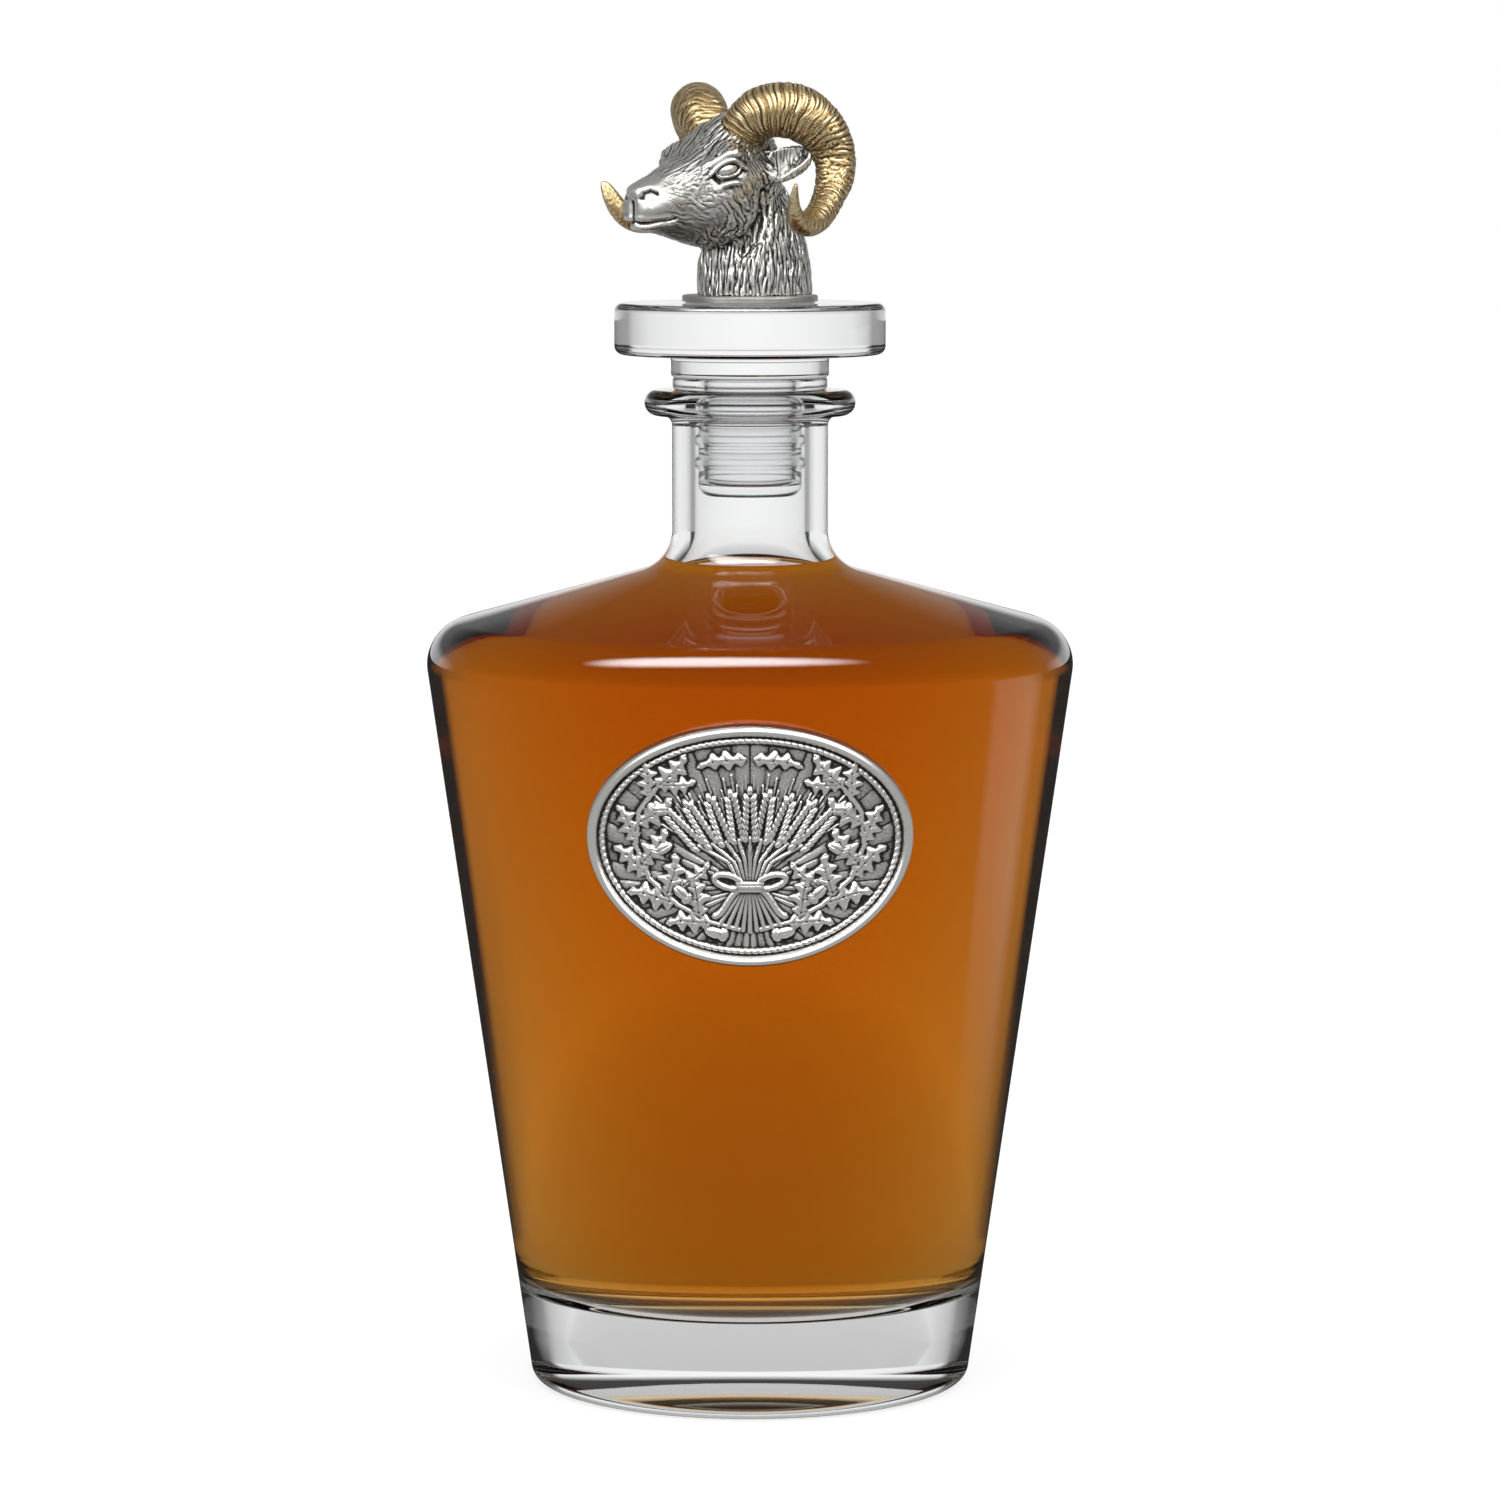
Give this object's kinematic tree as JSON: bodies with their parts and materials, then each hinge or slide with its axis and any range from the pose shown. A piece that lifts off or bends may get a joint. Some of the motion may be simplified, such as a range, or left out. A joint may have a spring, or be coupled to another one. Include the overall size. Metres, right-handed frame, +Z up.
{
  "type": "figural liquor decanter",
  "caption": "Round tapered glass decanter with a sloping shoulder, a disc stopper in a ribbed sleeve, a cast ram's head finial with curled horns, and an oval cast medallion on the front.",
  "frame": {"origin": "on the surface that the decanter stands on, under the centre of its base", "axes": "+Z up along the bottle's axis, -Y towards the front with the medallion, +X to the right seen from the front"},
  "size_m": [0.1214, 0.1239, 0.2451],
  "materials": {
    "clear_glass": "polished clear",
    "amber_liquor": "clear liquid",
    "clear_plastic": "clear moulded",
    "clear_adhesive": "clear cured",
    "pewter": "antiqued cast",
    "antique_gold": "antiqued gold plate"
  },
  "bodies": {
    "bottle": {"bottle": "clear_glass", "medallion_pad": "clear_adhesive", "medallion": "pewter"},
    "sleeve": {"stopper_sleeve": "clear_plastic"},
    "stopper": {"stopper_glass": "clear_glass", "finial_bond": "clear_adhesive", "finial_base": "pewter", "ram_head": "pewter", "ram_horn_left": "antique_gold", "ram_horn_right": "antique_gold"}
  },
  "joints": [
    {"name": "stopper_lift", "type": "slide", "parent": "bottle", "child": "sleeve", "axis": [0, 0, 1], "range_m": [0, 0.06]},
    {"name": "stopper_turn", "type": "hinge", "parent": "sleeve", "child": "stopper", "pos_m": [0, 0, 0.19], "axis": [0, 0, 1], "continuous": true}
  ]
}
